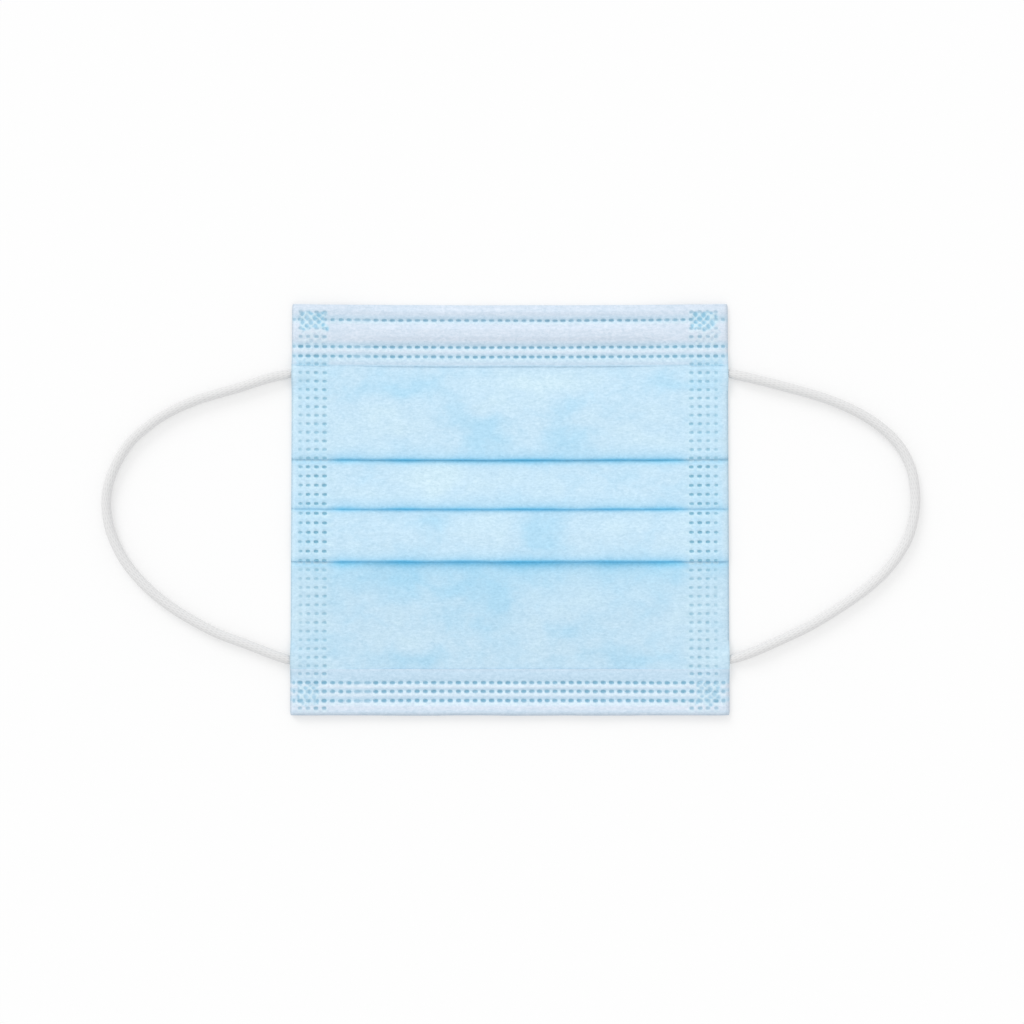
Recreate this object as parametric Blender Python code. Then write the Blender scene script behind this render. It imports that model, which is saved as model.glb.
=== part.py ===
"""Surgical face mask lying on its back: a pleated panel, a nose band and a chin band folded over its
edges, and two round elastic ear loops.

Metres, +Z up. The mask lies on Z = 0 with its front face up, its width along X and its nose edge
towards +Y. The origin is below the middle of the body, on the surface that the mask lies on.
"""

import math

import bmesh
import bpy
from mathutils import Vector

# Outline of the body
NOSE_WIDTH = 0.1350
CHIN_SPREAD = 0.0012  # the chin edge is this much wider than the nose edge
BODY_HEIGHT = 0.1275
NOSE_EDGE_DIP = 0.0006  # the nose edge hangs this far towards the chin in the middle

# Cloth, and the clearances between two layers of it and between two pieces
CLOTH = 0.0010
LAYER_GAP = 0.0003
PIECE_GAP = 0.0003
WELD_PRESS = 0.70  # share of its thickness that a pleat's stack keeps in the side welds

# Bands folded over the two long edges
NOSE_BAND_DEPTH = 0.0193
NOSE_BACK_DEPTH = 0.0165
CHIN_BAND_DEPTH = 0.0141
CHIN_BACK_DEPTH = 0.0115
CHANNEL_RISE = 0.0006  # the padded channel of the nose band stands up this far

# Pleats, whose fold edges point to the chin
PLEAT_TUCK = 0.0090
CHIN_RISE_RUN = 0.0090  # the panel climbs into the chin band over this distance
CHIN_RISE_LEAD = 0.0050  # and has climbed this far ahead of the band's edge

# Side welds
WELD_WIDTH = 0.0115
WELD_BLEND = 0.0220  # the cloth flattens towards the weld over this distance
SEAL_INSET = 0.0005  # the fused filling of a pleat's end starts this far inside its folds and edges

# Ear loops
CORD_DIAMETER = 0.0030
CORD_PRESSED = 0.57  # share of its thickness that the cord keeps under a corner weld
CORD_STEP = 0.0065  # distance between two points of the tube

# Share of the open height, from the nose band down, at which each pleat's fold edge lies
PLEAT_EDGE_SHARES = (0.3085, 0.4723, 0.6436)

# Front leaves of the bands. Columns: share of the depth from the long edge, share of the channel's rise
NOSE_LEAF_SHARES = (
    (0.16, 0.40),
    (0.26, 0.00),
    (0.36, 0.75),
    (0.47, 1.00),
    (0.58, 0.75),
    (0.68, 0.00),
    (0.84, 0.00),
    (1.00, 0.10),
)
CHIN_LEAF_SHARES = (
    (0.30, 0.00),
    (0.65, 0.00),
    (1.00, 0.00),
)

# Height of the side edges. Columns: share of the body's height from the chin edge, share of the full lift
SIDE_LIFT_SHARES = (
    (0.00, 1.00),
    (0.19, 1.00),
    (0.34, 0.45),
    (0.62, 0.45),
    (0.79, 1.00),
    (1.00, 1.00),
)

# Ear loops, from the nose weld round to the chin weld. Columns: x, y, how far the weld presses the cord,
# from 0 where it is round to 1 where it is as thin as CORD_PRESSED says
LEFT_LOOP = (
    (-0.0610, 0.0570, 1.00),
    (-0.0609, 0.0520, 1.00),
    (-0.0613, 0.0480, 1.00),
    (-0.0626, 0.0452, 0.70),
    (-0.0648, 0.0431, 0.12),
    (-0.0679, 0.0422, 0.00),
    (-0.0748, 0.0407, 0.00),
    (-0.0846, 0.0376, 0.00),
    (-0.0963, 0.0342, 0.00),
    (-0.1042, 0.0309, 0.00),
    (-0.1107, 0.0270, 0.00),
    (-0.1173, 0.0214, 0.00),
    (-0.1218, 0.0148, 0.00),
    (-0.1244, 0.0084, 0.00),
    (-0.1253, 0.0028, 0.00),
    (-0.1248, -0.0034, 0.00),
    (-0.1231, -0.0093, 0.00),
    (-0.1198, -0.0158, 0.00),
    (-0.1146, -0.0223, 0.00),
    (-0.1081, -0.0282, 0.00),
    (-0.1003, -0.0335, 0.00),
    (-0.0911, -0.0384, 0.00),
    (-0.0813, -0.0421, 0.00),
    (-0.0728, -0.0454, 0.00),
    (-0.0679, -0.0470, 0.00),
    (-0.0649, -0.0481, 0.12),
    (-0.0629, -0.0502, 0.70),
    (-0.0618, -0.0530, 1.00),
    (-0.0615, -0.0575, 1.00),
)
RIGHT_LOOP = (
    (0.0607, 0.0570, 1.00),
    (0.0606, 0.0520, 1.00),
    (0.0611, 0.0480, 1.00),
    (0.0625, 0.0452, 0.70),
    (0.0648, 0.0431, 0.12),
    (0.0680, 0.0422, 0.00),
    (0.0751, 0.0406, 0.00),
    (0.0850, 0.0381, 0.00),
    (0.0948, 0.0354, 0.00),
    (0.1026, 0.0326, 0.00),
    (0.1104, 0.0287, 0.00),
    (0.1169, 0.0240, 0.00),
    (0.1216, 0.0187, 0.00),
    (0.1246, 0.0123, 0.00),
    (0.1258, 0.0051, 0.00),
    (0.1256, -0.0010, 0.00),
    (0.1240, -0.0080, 0.00),
    (0.1209, -0.0139, 0.00),
    (0.1163, -0.0197, 0.00),
    (0.1104, -0.0250, 0.00),
    (0.1026, -0.0305, 0.00),
    (0.0934, -0.0361, 0.00),
    (0.0843, -0.0405, 0.00),
    (0.0751, -0.0445, 0.00),
    (0.0682, -0.0468, 0.00),
    (0.0651, -0.0480, 0.12),
    (0.0631, -0.0501, 0.70),
    (0.0620, -0.0530, 1.00),
    (0.0617, -0.0575, 1.00),
)

# How finely the curved shapes are cut into facets
FOLD_FACETS = 4
STRIP_FACETS = 3
RISE_FACETS = 4
MIDDLE_FACETS = 4
SIDE_FACETS = 7
ROUTE_SAMPLES = 12
SMOOTH_ANGLE = 40  # degrees

# Values that follow from those above
PITCH = CLOTH + LAYER_GAP
HALF_HEIGHT = BODY_HEIGHT / 2
HALF_WIDTH = (NOSE_WIDTH + CHIN_SPREAD / 2) / 2
NOSE_LEAF_EDGE = HALF_HEIGHT - NOSE_BAND_DEPTH
CHIN_LEAF_EDGE = CHIN_BAND_DEPTH - HALF_HEIGHT
OPEN_HEIGHT = NOSE_LEAF_EDGE - CHIN_LEAF_EDGE
FOLD_EDGES = [NOSE_LEAF_EDGE - share * OPEN_HEIGHT for share in PLEAT_EDGE_SHARES]
LAST_STRIP = len(FOLD_EDGES)
BAND_ARC_INSET = PITCH + CLOTH / 2  # from a long edge of the body to the middle of the band's fold
WELD_SHARE = 1 - WELD_WIDTH / HALF_WIDTH
FLAT_SHARE = WELD_SHARE - WELD_BLEND / HALF_WIDTH
# The side edges ride on the cord: on its pressed end below a band, and on its full thickness beside one
EDGE_LIFT = PIECE_GAP + max(CORD_PRESSED * CORD_DIAMETER, CORD_DIAMETER - PITCH)


def mix(low, high, share):
    return low + (high - low) * share


def span(start, end, facets):
    """Places from start to end, with this many facets between them."""
    return [mix(start, end, i / facets) for i in range(facets + 1)]


def smooth(share):
    """A share from 0 to 1 that leaves 0 and reaches 1 gently."""
    share = min(max(share, 0.0), 1.0)
    return share * share * (3 - 2 * share)


def read_table(rows, place):
    """The second column of a table at a place given in its first, with a gentle run between two rows."""
    if place <= rows[0][0]:
        return rows[0][1]
    for low, high in zip(rows, rows[1:]):
        if place <= high[0]:
            return mix(low[1], high[1], smooth((place - low[0]) / (high[0] - low[0])))
    return rows[-1][1]


def side_weight(across):
    """0 over the middle of the mask and 1 in the side welds. across runs from -1 to 1 over the width."""
    return smooth((abs(across) - FLAT_SHARE) / (WELD_SHARE - FLAT_SHARE))


def pleat_weight(y):
    """1 where the pleats stack their layers, and 0 in the plain cloth near the two bands."""
    above = (y - FOLD_EDGES[0] - PLEAT_TUCK) / PLEAT_TUCK
    below = (FOLD_EDGES[-1] - y) / PLEAT_TUCK
    return 1 - smooth(max(above, below))


def squeeze(across, y):
    """Share of its thickness that the cloth keeps."""
    return mix(1.0, WELD_PRESS, side_weight(across) * pleat_weight(y))


def place(across, y, z):
    """World place of a point of the flat mask, which follows the outline and rides on the cords."""
    up = (y + HALF_HEIGHT) / BODY_HEIGHT
    half_width = (NOSE_WIDTH + CHIN_SPREAD * (1 - up)) / 2
    dip = NOSE_EDGE_DIP * (1 - across * across) * up
    lift = EDGE_LIFT * side_weight(across) * read_table(SIDE_LIFT_SHARES, up)
    return Vector((across * half_width, y - dip, z + lift))


def stations():
    """Places across the width at which a section is set, closer together where the cloth bends."""
    shares = span(0.0, FLAT_SHARE, MIDDLE_FACETS)
    shares += span(FLAT_SHARE, WELD_SHARE, SIDE_FACETS)[1:] + [1.0]
    return [-share for share in reversed(shares[1:])] + shares


def underside(strip, across, y):
    """Height of the underside of one strip of the panel. Strip 0 leaves the nose band."""
    if strip == LAST_STRIP:
        return PITCH * smooth((CHIN_LEAF_EDGE + CHIN_RISE_LEAD + CHIN_RISE_RUN - y) / CHIN_RISE_RUN)
    stack = 2 * PITCH * squeeze(across, y)
    tuck_top = FOLD_EDGES[strip] + PLEAT_TUCK
    if y <= tuck_top:
        return underside(strip + 1, across, y) + stack
    if strip == 0:
        return mix(stack, PITCH, min((y - tuck_top) / (NOSE_LEAF_EDGE - tuck_top), 1.0))
    hidden_end = FOLD_EDGES[strip - 1] + PLEAT_TUCK
    return mix(stack, 0.0, (y - tuck_top) / (hidden_end - tuck_top))


def layer_middle(strip, layer, across, y):
    """(y, height, half thickness) at the middle of the wall, layer pitches above a strip's underside."""
    share = squeeze(across, y)
    half = CLOTH * share / 2
    return y, underside(strip, across, y) + layer * PITCH * share + half, half


def fold_round(upper, lower, turn):
    """Middle of the wall along a fold from one layer to the layer below. turn is -1 towards the chin."""
    y = upper[0]
    centre = (upper[1] + lower[1]) / 2
    radius = (upper[1] - lower[1]) / 2
    return [
        (y + turn * radius * math.sin(angle), centre + radius * math.cos(angle), upper[2])
        for angle in span(0.0, math.pi, FOLD_FACETS)[1:-1]
    ]


def panel_path(across):
    """The middle of the panel's wall from its nose edge, through the three pleats, to its chin edge."""
    path = []
    start = HALF_HEIGHT - BAND_ARC_INSET
    shown_from = NOSE_LEAF_EDGE
    for strip, edge in enumerate(FOLD_EDGES):
        round_off = (PITCH + CLOTH) / 2 * squeeze(across, edge)
        top = edge + PLEAT_TUCK
        low = edge + round_off
        high = top - round_off
        places = [start] + span(shown_from, top, STRIP_FACETS) + span(top, low, STRIP_FACETS)[1:]
        path += [layer_middle(strip, 0, across, y) for y in places]
        path += fold_round(path[-1], layer_middle(strip + 1, 1, across, low), -1)
        path += [layer_middle(strip + 1, 1, across, y) for y in span(low, high, STRIP_FACETS)]
        path += fold_round(path[-1], layer_middle(strip + 1, 0, across, high), 1)
        start = high
        shown_from = edge
    rise_end = CHIN_LEAF_EDGE + CHIN_RISE_LEAD
    places = [start, FOLD_EDGES[-1]] + span(rise_end + CHIN_RISE_RUN, rise_end, RISE_FACETS)
    places += [CHIN_LEAF_EDGE, BAND_ARC_INSET - HALF_HEIGHT]
    path += [layer_middle(LAST_STRIP, 0, across, y) for y in places]
    return path


def band_path(edge_sign, front_depth, back_depth, leaf_rows):
    """The middle of a band's wall: front leaf, fold over the long edge, back leaf."""
    half = CLOTH / 2
    arc_y = HALF_HEIGHT - BAND_ARC_INSET
    front = [
        (HALF_HEIGHT - share * front_depth, half + 2 * PITCH + rise * CHANNEL_RISE, half)
        for share, rise in reversed(leaf_rows)
    ]
    arc = [
        (arc_y + PITCH * math.sin(angle), half + PITCH + PITCH * math.cos(angle), half)
        for angle in span(0.0, math.pi, FOLD_FACETS)
    ]
    back = [(y, half, half) for y in span(arc_y, HALF_HEIGHT - back_depth, STRIP_FACETS)[1:]]
    return [(edge_sign * y, z, half) for y, z, half in front + arc + back]


def nose_path(across):
    return band_path(1, NOSE_BAND_DEPTH, NOSE_BACK_DEPTH, NOSE_LEAF_SHARES)


def chin_path(across):
    return band_path(-1, CHIN_BAND_DEPTH, CHIN_BACK_DEPTH, CHIN_LEAF_SHARES)


def two_sides(path):
    """The two sides of a wall along its middle line: (y, z) points for each side."""
    sides = ([], [])
    for i, (y, z, half) in enumerate(path):
        before = path[max(i - 1, 0)]
        after = path[min(i + 1, len(path) - 1)]
        along = Vector((after[0] - before[0], after[1] - before[1])).normalized()
        sides[0].append((y - along.y * half, z + along.x * half))
        sides[1].append((y + along.y * half, z - along.x * half))
    return sides


def add_object(name, mesh, material):
    obj = bpy.data.objects.new(name, mesh)
    obj.data.materials.append(material)
    bpy.context.scene.collection.objects.link(obj)
    return obj


def mesh_from(bm, name):
    bmesh.ops.recalc_face_normals(bm, faces=bm.faces)
    mesh = bpy.data.meshes.new(name)
    bm.to_mesh(mesh)
    bm.free()
    mesh.shade_smooth()
    mesh.set_sharp_from_angle(angle=math.radians(SMOOTH_ANGLE))
    return mesh


def lofted_wall(name, path_at, shares, material):
    """A closed wall of cloth, lofted through the same path at each share of the width."""
    bm = bmesh.new()
    grids = []
    for across in shares:
        sides = two_sides(path_at(across))
        grids.append([[bm.verts.new(place(across, y, z)) for y, z in side] for side in sides])
    count = len(grids[0][0])
    for left, right in zip(grids, grids[1:]):
        for a, b in zip(left, right):
            for i in range(count - 1):
                bm.faces.new((a[i], b[i], b[i + 1], a[i + 1]))
        for end in (0, count - 1):
            bm.faces.new((left[0][end], right[0][end], right[1][end], left[1][end]))
    for front, back in (grids[0], grids[-1]):
        for i in range(count - 1):
            bm.faces.new((front[i], front[i + 1], back[i + 1], back[i]))
    return add_object(name, mesh_from(bm, name), material)


def pleat_seal(strip, side, material):
    """The fused end of one pleat in a side weld, which fills the gaps between its three layers."""
    low = FOLD_EDGES[strip] + SEAL_INSET + PITCH / 2
    high = FOLD_EDGES[strip] + PLEAT_TUCK - SEAL_INSET - PITCH / 2
    inset = SEAL_INSET / HALF_WIDTH
    bm = bmesh.new()
    rings = []
    for across in (side * (WELD_SHARE + inset), side * (1 - inset)):
        bottom = [layer_middle(strip + 1, 0, across, y) for y in span(low, high, STRIP_FACETS)]
        top = [layer_middle(strip, 0, across, y) for y in span(high, low, STRIP_FACETS)]
        rings.append([bm.verts.new(place(across, y, z)) for y, z, half in bottom + top])
    first, last = rings
    for i in range(len(first)):
        after = (i + 1) % len(first)
        bm.faces.new((first[i], first[after], last[after], last[i]))
    bm.faces.new(first)
    bm.faces.new(last)
    seal = add_object("pleat_seal", mesh_from(bm, "pleat_seal"), material)
    seal.hide_render = True
    seal.display_type = "WIRE"
    return seal


def make_panel(material):
    panel = lofted_wall("pleated_panel", panel_path, stations(), material)
    for strip in range(LAST_STRIP):
        for side in (-1, 1):
            union = panel.modifiers.new(f"seal_{strip}_{side}", "BOOLEAN")
            union.operation = "UNION"
            union.solver = "EXACT"
            union.object = pleat_seal(strip, side, material)


def curve_between(before, start, end, after, t):
    """A point of the smooth curve from start to end, which also heeds the points before and after."""
    pull = (end - before) * t
    bend = (2 * before - 5 * start + 4 * end - after) * t**2
    twist = (3 * start - before - 3 * end + after) * t**3
    return start + (pull + bend + twist) / 2


def curve_through(rows):
    """A smooth line through the rows of a table, read at close steps."""
    points = [Vector(row) for row in rows]
    ends = [points[0]] + points + [points[-1]]
    line = []
    for a, b, c, d in zip(ends, ends[1:], ends[2:], ends[3:]):
        line += [curve_between(a, b, c, d, i / ROUTE_SAMPLES) for i in range(ROUTE_SAMPLES)]
    return line + [points[-1]]


def even_steps(line, step):
    """Points at even distances along a line, as near to the step as fits its length."""
    lengths = [0.0]
    for a, b in zip(line, line[1:]):
        lengths.append(lengths[-1] + (b.xy - a.xy).length)
    count = max(2, round(lengths[-1] / step))
    points = []
    at = 1
    for i in range(count + 1):
        along = lengths[-1] * i / count
        while lengths[at] < along and at < len(line) - 1:
            at += 1
        share = (along - lengths[at - 1]) / (lengths[at] - lengths[at - 1])
        points.append(line[at - 1].lerp(line[at], share))
    return points


def make_loop(name, route, material):
    """A round cord lying on the surface, pressed thinner where it is welded behind a corner."""
    curve = bpy.data.curves.new(name, "CURVE")
    curve.dimensions = "3D"
    curve.bevel_depth = CORD_DIAMETER / 2
    curve.bevel_resolution = 2
    curve.use_fill_caps = True
    points = even_steps(curve_through(route), CORD_STEP)
    spline = curve.splines.new("POLY")
    spline.points.add(len(points) - 1)
    for point, (x, y, press) in zip(spline.points, points):
        point.radius = mix(1.0, CORD_PRESSED, press)
        point.co = (x, y, point.radius * CORD_DIAMETER / 2, 1)
    add_object(name, curve, material)


def make_material(name, colour, roughness):
    material = bpy.data.materials.new(name)
    material.use_nodes = True
    shader = material.node_tree.nodes["Principled BSDF"]
    shader.inputs["Base Color"].default_value = (*colour, 1)
    shader.inputs["Roughness"].default_value = roughness
    shader.inputs["Metallic"].default_value = 0.0
    return material


def clear_scene():
    for obj in list(bpy.data.objects):
        bpy.data.objects.remove(obj)


def main():
    clear_scene()
    panel_cloth = make_material("panel_cloth", (0.58, 0.79, 0.95), 0.85)
    band_cloth = make_material("band_cloth", (0.69, 0.80, 0.91), 0.85)
    loop_elastic = make_material("loop_elastic", (0.80, 0.80, 0.80), 0.75)
    make_panel(panel_cloth)
    lofted_wall("nose_band", nose_path, stations(), band_cloth)
    lofted_wall("chin_band", chin_path, stations(), band_cloth)
    make_loop("ear_loop_left", LEFT_LOOP, loop_elastic)
    make_loop("ear_loop_right", RIGHT_LOOP, loop_elastic)


main()
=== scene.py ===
"""Looks of the surgical face mask: nonwoven cloth with its weld marks and pleats, knitted ear loops,
the floor, the light and the camera. Metres, in the frame of the solids.
"""

import math

import bpy
import numpy as np
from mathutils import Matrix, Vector


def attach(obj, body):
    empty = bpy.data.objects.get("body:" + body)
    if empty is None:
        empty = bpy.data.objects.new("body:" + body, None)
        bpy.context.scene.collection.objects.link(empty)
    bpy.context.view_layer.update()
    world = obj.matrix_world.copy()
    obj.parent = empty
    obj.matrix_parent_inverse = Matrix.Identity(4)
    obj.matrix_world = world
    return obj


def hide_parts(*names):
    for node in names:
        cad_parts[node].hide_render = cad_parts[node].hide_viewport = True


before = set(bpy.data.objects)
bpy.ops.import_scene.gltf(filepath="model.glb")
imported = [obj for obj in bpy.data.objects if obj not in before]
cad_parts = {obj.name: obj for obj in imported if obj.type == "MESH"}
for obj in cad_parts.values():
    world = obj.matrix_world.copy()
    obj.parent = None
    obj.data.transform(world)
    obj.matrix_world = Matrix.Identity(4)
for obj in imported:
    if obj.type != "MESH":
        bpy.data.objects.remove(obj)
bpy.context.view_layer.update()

MM = 0.001

# Outline and folds, within 0.3 mm of the solids'
NOSE_WIDTH = 0.1353
CHIN_SPREAD = 0.0012
BODY_HEIGHT = 0.1275
NOSE_EDGE_DIP = 0.0004
NOSE_BAND_DEPTH = 0.0191
NOSE_BACK_DEPTH = 0.0165
CHIN_BAND_DEPTH = 0.0141
CHIN_BACK_DEPTH = 0.0115
FOLD_EDGES = (0.01548, 0.00015, -0.01619)
PLEAT_TUCK = 0.0090
WELD_WIDTH = 0.0115
WELD_BLEND = 0.0220
EDGE_LIFT = 0.00140
HALF_HEIGHT = BODY_HEIGHT / 2
HALF_WIDTH = (NOSE_WIDTH + CHIN_SPREAD / 2) / 2
NOSE_LEAF_EDGE = HALF_HEIGHT - NOSE_BAND_DEPTH
CHIN_LEAF_EDGE = CHIN_BAND_DEPTH - HALF_HEIGHT
WELD_SHARE = 1 - WELD_WIDTH / HALF_WIDTH
FLAT_SHARE = WELD_SHARE - WELD_BLEND / HALF_WIDTH
LAST_STRIP = len(FOLD_EDGES)

# Real cloth is thinner than the solids' walls
CLOTH = 0.34 * MM
BAND_CLOTH = 0.28 * MM
LAYER_GAP = 0.05 * MM
WELD_PRESS = 0.42
STACKS = (0.84 * MM, 0.84 * MM, 1.50 * MM)
PRESS_DEPTH = 0.24 * MM
PRESS_LIMIT = 0.75
PUFF = 0.17 * MM
EDGE_ROLL = 1.2 * MM
EDGE_DROP = 0.50
CORNER_ROUND = 1.4 * MM
CORNER_INSET = 0.24 * MM
EDGE_WANDER = 0.035 * MM
CHIN_RISE_RUN = 9 * MM
CHIN_RISE_LEAD = 5 * MM
PANEL_RISE = BAND_CLOTH + LAYER_GAP
# Where a band's leaf ends near the sides it sinks into the panel
FUSE_SHARE = 0.8
FUSE_RUN = 0.9 * MM
LEAF_SIDE_RISE = 0.7  # share of the leaves' rise that is left at the side welds
PANEL_INSET = 1.2 * MM  # the panel's ends lie this far inside the bands' folds
# The chin hem bulges out and up. Each run is a share of the body's height
HEM_OUT = 0.30 * MM
HEM_OUT_RUN = 0.035
HEM_LIFT = 0.45 * MM
HEM_LIFT_RUN = 0.05

# Height of the side edges. Columns: share of the body's height from the chin edge, share of the lift
SIDE_LIFT = (
    (0.00, 1.00),
    (0.17, 0.95),
    (0.32, 0.80),
    (0.66, 0.80),
    (0.80, 0.95),
    (1.00, 0.90),
)
LIFT_BLEND = 6  # power of the blend between the side edges' lift and the cloth's rise over the cords

# Swells of the lying cloth. Columns: y of the middle, half height and rise in mm
SWELLS = ((32, 15, 0.45), (-34, 17, 0.65))
SLOW_RIPPLE = 0.09 * MM
QUICK_RIPPLE = 0.014 * MM
LEAST_RIPPLE = 0.03 * MM

# Front leaves of the bands. Columns: distance from the long edge and rise over the welded rows, in mm
NOSE_LEAF = (
    (0.70, 0.10),
    (2.20, 0.55),
    (3.60, 0.42),
    (4.95, 0.00),
    (6.10, 0.66),
    (7.80, 1.18),
    (9.60, 1.10),
    (11.40, 0.62),
    (13.10, 0.00),
    (14.55, 0.34),
    (15.95, 0.00),
    (17.60, 0.20),
    (19.10, 0.00),
)
CHIN_LEAF = (
    (1.50, 0.68),
    (2.60, 0.78),
    (3.60, 0.52),
    (4.55, 0.00),
    (6.00, 0.36),
    (7.40, 0.00),
    (8.70, 0.36),
    (10.00, 0.00),
    (11.80, 0.26),
    (14.10, 0.00),
)

# Bluer where the band is pressed, and along its folded long edge. Columns: distance from the long edge in
# mm, tint
NOSE_TINT = (
    (0.0, 0.10),
    (0.7, 0.00),
    (2.9, 0.05),
    (3.6, 0.20),
    (4.1, 0.28),
    (4.9, 0.30),
    (5.5, 0.16),
    (5.9, 0.04),
    (6.4, 0.00),
    (10.8, 0.00),
    (11.7, 0.16),
    (12.4, 0.34),
    (13.1, 0.42),
    (13.8, 0.24),
    (14.3, 0.02),
    (14.8, 0.10),
    (15.3, 0.34),
    (16.0, 0.44),
    (16.6, 0.42),
    (17.1, 0.34),
    (18.4, 0.26),
    (19.1, 0.50),
)
CHIN_TINT = (
    (0.0, 0.10),
    (1.2, 0.14),
    (2.0, 0.00),
    (3.5, 0.00),
    (4.0, 0.18),
    (4.5, 0.42),
    (5.2, 0.34),
    (5.8, 0.18),
    (6.3, 0.02),
    (6.8, 0.10),
    (7.4, 0.40),
    (8.0, 0.30),
    (8.7, 0.00),
    (9.3, 0.08),
    (9.9, 0.42),
    (10.5, 0.42),
    (11.2, 0.38),
    (12.8, 0.38),
    (13.6, 0.32),
    (14.1, 0.20),
)

# Painted shade: greyer on the nose band's slopes into its welded rows, which face away from the light,
# and above the chin band's dashes.
# Columns: distance from the long edge in mm, share of light kept
NOSE_LIGHT = (
    (0.0, 1.00),
    (1.4, 1.00),
    (3.2, 0.96),
    (4.9, 0.97),
    (6.4, 1.00),
    (8.8, 0.99),
    (11.6, 0.95),
    (13.1, 1.00),
    (19.1, 1.00),
)
CHIN_LIGHT = (
    (0.0, 1.00),
    (10.8, 1.00),
    (12.0, 0.965),
    (13.6, 0.965),
    (14.1, 0.99),
)

# Painted shade along the side edges: strength and width in mm
OUTLINE_SHADE = 0.21
OUTLINE_WIDTH = 0.8

# Weld marks, at the same places across the width in every row. Columns: number of the mark, x in mm
MARK_PLACES = (
    (-1, -67.0),
    (0, -65.0),
    (1, -62.6),
    (7, -47.4),
    (8, -44.2),
    (9, -41.6),
    (24, -3.1),
    (28, 6.8),
    (31, 14.0),
    (37, 29.0),
    (40, 36.65),
    (45, 48.75),
    (48, 56.35),
    (51, 63.95),
    (52, 66.2),
)
# They stand further apart towards the nose, by this share for each metre
MARK_SPREAD = 0.05
FIRST_MARK = -1
LAST_MARK = 52
LEFT_GRID = (0, 1, 2, 3)
RIGHT_GRID = (48, 49, 50, 51)
# Rows of dashes across the bands, y in mm
NOSE_ROWS = (58.93, 50.57, 47.60)
CHIN_ROWS = (-53.85, -56.58, -59.45)
DASH_HALF = 0.80 * MM
NOSE_DASH_HEIGHT = 0.46 * MM
CHIN_DASH_HEIGHT = 0.52 * MM
EDGE_ROW_STRENGTH = 0.87
ROW_STRENGTH = 1.04
# Dashes at the seam and at both ends of the rows: share of the usual strength, half length
SEAM_DASH = (0.72, 0.98 * MM)
ODD_DASHES = {
    FIRST_MARK: (0.60, 0.50 * MM),
    7: SEAM_DASH,
    8: SEAM_DASH,
    LAST_MARK: (0.72, 0.64 * MM),
}
# Rows of the side grids. Columns: first and last y in mm, number of rows, strength
GRID_ROWS = (
    (61.25, 61.25, 1, 0.75),
    (56.20, 53.60, 2, 0.80),
    (45.20, 45.20, 1, 0.60),
    (42.47, 15.95, 11, 0.78),
    (13.20, 1.75, 5, 1.15),
    (-1.27, -15.92, 6, 1.20),
    (-18.85, -48.66, 12, 0.66),
    (-51.05, -51.05, 1, 0.75),
    (-61.55, -61.55, 1, 0.80),
)
# Columns of dots, from the edge of the mask inwards: share of the usual strength and length
DOT_COLUMNS = ((0.72, 0.88), (0.92, 0.96), (1.00, 1.00), (1.00, 1.00))
DOT_HALF = 0.71 * MM
DOT_HEIGHT = 0.45 * MM
# Pressed shape of a mark and of the painted highlight on its rim, in squares of its half size: where it
# ends, and over what it fades
MARK_REACH = 1.9
MARK_FADE = 1.7
RIM_REACH = 6.5
RIM_FADE = 4.5
# The painted highlight sits this far towards the chin, on the rim's side that faces the light
RIM_SHIFT = 0.36 * MM

# Knurled patches over the cords' ends. Columns: x, y, half width, half height in mm, strength, how blue
PATCHES = (
    (-61.3, 58.6, 4.3, 3.0, 1.00, 0.95),
    (60.6, 58.6, 4.0, 3.0, 1.00, 0.95),
    (-62.3, -57.4, 3.4, 3.3, 0.85, 0.80),
    (61.3, -57.0, 3.9, 3.6, 0.85, 0.80),
    (-61.0, 53.0, 3.9, 2.3, 0.60, 0.15),
    (61.4, 53.2, 3.6, 2.3, 0.60, 0.15),
)

# Soft clouds in the blue of the cloth. Columns: x, y, half length, half height in mm, strength, which is
# below zero where the cloth is paler
CLOUDS = (
    (-35.0, 38.0, 17.0, 3.2, 1.00),
    (-18.0, 42.0, 9.0, 2.6, 0.45),
    (50.0, 38.5, 12.0, 3.6, 0.75),
    (-9.0, 23.0, 7.0, 5.5, 1.10),
    (-17.0, 30.5, 5.0, 5.5, 0.55),
    (17.0, 22.0, 7.5, 5.0, 0.95),
    (19.5, 32.0, 4.5, 6.0, 0.55),
    (8.0, 40.5, 17.0, 3.6, -0.80),
    (-3.0, 33.0, 9.0, 4.5, -0.35),
    (-40.0, 28.5, 17.0, 4.5, -0.50),
    (44.0, 22.0, 10.0, 4.0, -0.30),
    (-21.0, 9.7, 14.0, 4.0, -1.00),
    (34.0, 8.0, 12.0, 4.0, 0.25),
    (-22.5, -4.5, 6.0, 5.0, 0.70),
    (11.0, -7.5, 7.5, 6.0, 1.00),
    (-8.0, -5.5, 8.0, 4.5, -0.60),
    (30.0, -5.0, 11.0, 4.0, -0.35),
    (52.0, -9.0, 8.0, 4.0, -0.30),
    (-18.0, -24.0, 22.0, 4.0, 0.60),
    (-38.0, -21.0, 12.0, 3.5, 0.45),
    (-1.5, -28.0, 8.0, 4.5, 0.80),
    (-8.0, -34.0, 7.0, 5.0, 0.60),
    (16.5, -35.0, 9.0, 4.0, 0.65),
    (-31.0, -46.0, 14.0, 2.8, 0.60),
    (39.0, -46.0, 11.0, 3.0, 0.70),
    (9.0, -37.0, 6.0, 6.0, -0.90),
    (19.0, -26.0, 10.0, 4.0, -0.65),
    (-33.0, -38.5, 12.0, 5.0, -0.35),
    (54.0, -37.0, 8.0, 7.0, -0.40),
)

CLOUD_GAIN = 1.50
CLOUD_OFFSET = 0.03
# Blue of the welded sides: everywhere, and more on the top strip, the middle strips and their right side
WELDED_BLUE = 0.10
TOP_BLUE = 0.20
MIDDLE_BLUE = 0.40
RIGHT_BLUE = 0.12
MARGIN_PALE = 0.30
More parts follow.
